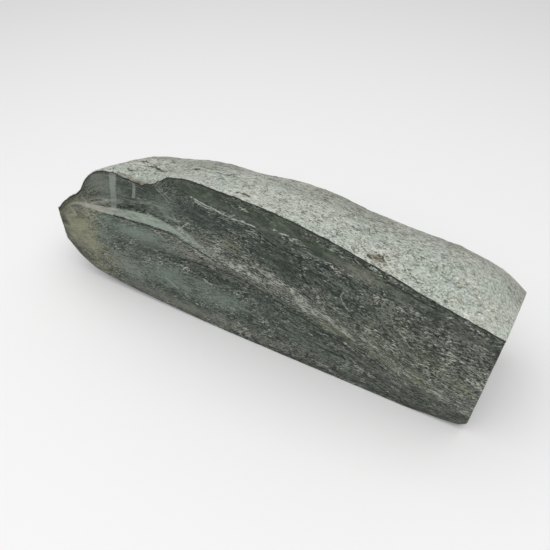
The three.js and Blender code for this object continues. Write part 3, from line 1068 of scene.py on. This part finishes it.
class BoulderFinish(bpy.types.PropertyGroup):
    nephrite: paint("Nephrite", (0.108, 0.132, 0.107), "Main colour of the sawn face")
    nephrite_dark: paint("Dark Nephrite", (0.03, 0.042, 0.035), "Darkest bands of the face")
    nephrite_grey: paint("Grey Nephrite", (0.155, 0.167, 0.143), "Greyer bands of the face")
    nephrite_green: paint("Green Nephrite", (0.182, 0.229, 0.188), "Smooth green panels")
    fibre_band: paint("Fibre Band", (0.25, 0.25, 0.21), "Pale band across the face")
    olive: paint("Olive", (0.27, 0.28, 0.15), "Olive yellow patches")
    olive_rim: paint("Olive Rim", (0.052, 0.072, 0.043), "Smooth dark rim below the rind")
    # The ledge colours hold painted light on the upward-facing tread, over the ledge's own green and
    # pinkish tones
    lit_ledge_green: paint("Green Ledge", (0.42, 0.485, 0.415), "Green part of the ledge")
    lit_ledge_pink: paint("Pinkish Ledge", (0.475, 0.47, 0.41), "Pinkish part of the ledge")
    brown: paint("Brown", (0.062, 0.058, 0.04), "Brown stained edge of the nose")
    tip_olive: paint("Tip Olive", (0.312, 0.306, 0.202), "Stained stone at the nose")
    pale_fibre: paint("Pale Fibre", (0.56, 0.59, 0.51), "Whitish fibres and threads")
    # Black Mineral also paints the thin line of shade right under the rind edge
    black_mineral_and_shade: paint("Black Mineral", (0.012, 0.017, 0.013), "Dark specks and cracks")
    vein: paint("Vein", (0.26, 0.3, 0.26), "Pale veins in the recessed face")
    rind: paint("Rind", (0.635, 0.665, 0.585), "Main colour of the rind")
    rind_green: paint("Green Rind", (0.55, 0.615, 0.54), "Greener parts of the rind")
    # Rear Rind is painted shade on the rind that curves away toward the back, and also a darker tone
    # of the stone toward the nose end
    rind_rear_shade_and_tone: paint("Rear Rind", (0.475, 0.475, 0.42), "Rind toward the back")
    rind_pale: paint("Pale Grains", (0.95, 0.97, 0.92), "Palest grains of the rind")
    rind_ochre: paint("Ochre Tint", (0.54, 0.55, 0.42), "Yellowish patches of the rind")
    rind_speck_and_shade: paint("Dark Grains", (0.07, 0.08, 0.06), "Dark specks of the rind")
    # Dark Grains also paints the shade in the rind's dents
    nose_stain: paint("Nose Stain", (0.2, 0.185, 0.135), "Brownish rind of the nose")
    rust: paint("Rust", (0.15, 0.1, 0.055), "Rusty pit and crumbled edge")


class StudioStage(bpy.types.PropertyGroup):
    floor_size: amount("Floor Size", 30, "Width of the floor", unit="LENGTH")
    lamp_power: amount("Lamp Power", 6.2, "Power of the overhead lamp", unit="POWER")
    sky_strength: amount("Sky Strength", 0.565, "Brightness of the even light")
    floor_colour: paint("Floor", (0.86, 0.86, 0.86), "Colour of the studio floor")


def add_values(mesh, name, kind, values):
    """A named value for each point of the mesh."""
    layer = mesh.attributes.new(name, kind, "POINT")
    key = "vector" if kind == "FLOAT_VECTOR" else "value"
    layer.data.foreach_set(key, np.ascontiguousarray(values, np.float32).ravel())


class AddJadeBoulder(bpy.types.Operator):
    """Add the boulder's fine surface, with its sawn face, cut end and worn rind"""

    bl_idname = "mesh.add_jade_boulder"
    bl_label = "Jade Boulder"
    bl_options = {"REGISTER", "UNDO"}

    def execute(self, context):
        shape, finish = context.scene.boulder_shape, context.scene.boulder_finish
        points, faces, kinds, values = build_stone(shape.relief)
        place = np.stack([-points[:, 0], points[:, 2], points[:, 1]], -1)
        at = points * MM + np.array(CORNER)
        mesh = bpy.data.meshes.new("boulder_surface")
        mesh.from_pydata(at.tolist(), [], faces)
        mesh.polygons.foreach_set("material_index", np.ascontiguousarray(kinds, np.int32))
        mesh.shade_smooth()
        add_values(mesh, "place", "FLOAT_VECTOR", place)
        add_values(mesh, "grain", "FLOAT_VECTOR", grain_field(place))
        for name, amounts in {**values, **face_zones(place)}.items():
            add_values(mesh, name, "FLOAT", amounts)
        if mesh.validate(verbose=True):
            raise RuntimeError("The boulder's mesh had faults")
        for build in (fibre_group, mineral_group, line_group):
            build()
        for make in (sawn_face_material, rind_material, cut_material):
            mesh.materials.append(make(finish))
        stone = bpy.data.objects.new("boulder_surface", mesh)
        context.collection.objects.link(stone)
        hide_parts(NODE)
        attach(stone, "root")
        return {"FINISHED"}


# Camera and lamp, in metres from the lower front corner of the cut end
CAMERA_AT = (-0.0228, -0.2044, 0.3061)
CAMERA_AIM = (-0.1651, 0.0665, 0)
CAMERA_LENS = 36
LAMP_AT = (-0.14, -0.14, 0.8)
LAMP_SIZE = 1.25


def set_up(context, name, data, offset):
    """Puts the lamp or the camera at its place and turns it to the boulder."""
    item = bpy.data.objects.new(name, data)
    item.location = Vector(CORNER) + Vector(offset)
    way = Vector(CORNER) + Vector(CAMERA_AIM) - item.location
    item.rotation_euler = way.to_track_quat("-Z", "Y").to_euler()
    context.collection.objects.link(item)
    return item


class AddBoulderStage(bpy.types.Operator):
    """Add the pale floor, the soft light and the camera"""

    bl_idname = "scene.add_boulder_stage"
    bl_label = "Studio Stage"
    bl_options = {"REGISTER", "UNDO"}

    def execute(self, context):
        stage = context.scene.boulder_stage
        half = stage.floor_size / 2
        mesh = bpy.data.meshes.new("floor")
        corners = [(-half, -half, 0), (half, -half, 0), (half, half, 0), (-half, half, 0)]
        mesh.from_pydata(corners, [], [(0, 1, 2, 3)])
        material, _, shader = new_material("Studio floor")
        looks = {"Base Color": (*stage.floor_colour, 1), "Roughness": 0.9, "Specular IOR Level": 0.1}
        for name, value in looks.items():
            plug(shader[name], value)
        mesh.materials.append(material)
        floor = bpy.data.objects.new("studio_floor", mesh)
        context.collection.objects.link(floor)

        world = bpy.data.worlds.new("Studio")
        world.use_nodes = True
        sky = world.node_tree.nodes["Background"].inputs
        sky["Color"].default_value = (1, 1, 1, 1)
        sky["Strength"].default_value = stage.sky_strength
        context.scene.world = world

        light = bpy.data.lights.new("Overhead", "AREA")
        light.energy = stage.lamp_power
        light.size = LAMP_SIZE
        set_up(context, "Overhead", light, LAMP_AT)

        lens = bpy.data.cameras.new("Camera")
        lens.lens = CAMERA_LENS
        lens.clip_start = 0.01
        context.scene.camera = set_up(context, "Camera", lens, CAMERA_AT)
        context.scene.view_settings.view_transform = "Standard"
        return {"FINISHED"}


class BoulderPanel(bpy.types.Panel):
    """Buttons and settings for the raw jade boulder"""

    bl_label = "Raw Jade Boulder"
    bl_idname = "VIEW3D_PT_raw_jade_boulder"
    bl_space_type = "VIEW_3D"
    bl_region_type = "UI"
    bl_category = "Minerals"

    def draw(self, context):
        self.layout.operator(AddJadeBoulder.bl_idname)
        self.layout.operator(AddBoulderStage.bl_idname)
        for group, kind in SETTINGS.items():
            box = self.layout.box()
            for name in kind.__annotations__:
                box.prop(getattr(context.scene, group), name)


SETTINGS = {
    "boulder_shape": BoulderShape, "boulder_finish": BoulderFinish, "boulder_stage": StudioStage,
}
CLASSES = (*SETTINGS.values(), AddJadeBoulder, AddBoulderStage, BoulderPanel)


def register():
    for item in CLASSES:
        bpy.utils.register_class(item)
    for name, kind in SETTINGS.items():
        setattr(bpy.types.Scene, name, bpy.props.PointerProperty(type=kind))


def unregister():
    for name in SETTINGS:
        delattr(bpy.types.Scene, name)
    for item in reversed(CLASSES):
        bpy.utils.unregister_class(item)


def main():
    register()
    bpy.ops.scene.add_boulder_stage()
    bpy.ops.mesh.add_jade_boulder()


if __name__ == "__main__":
    main()
